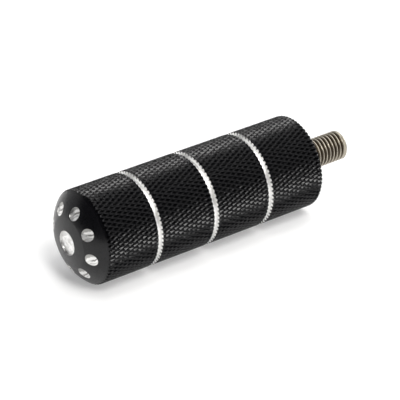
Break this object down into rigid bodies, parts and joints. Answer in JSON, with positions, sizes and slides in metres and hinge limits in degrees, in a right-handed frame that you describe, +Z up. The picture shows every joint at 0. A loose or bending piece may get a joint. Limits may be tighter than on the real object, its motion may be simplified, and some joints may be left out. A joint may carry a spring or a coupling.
{
  "type": "foot peg",
  "caption": "Round knurled screw-in motorcycle foot peg with bright turned rings, a dimpled domed outer end and a threaded mounting stud.",
  "frame": {"origin": "centre of the mounting face, on the peg's axis", "axes": "+X along the peg's axis, the way the stud points; +Z up, with the peg lying on its side"},
  "size_m": [0.1323, 0.038, 0.038],
  "materials": {
    "black_anodised": "satin black anodised, with the ring grooves, dimples and end recess cut through to bare bright metal",
    "stud_steel": "plain rolled thread"
  },
  "bodies": {
    "root": {"peg_body": "black_anodised", "mounting_stud": "stud_steel"}
  },
  "joints": []
}
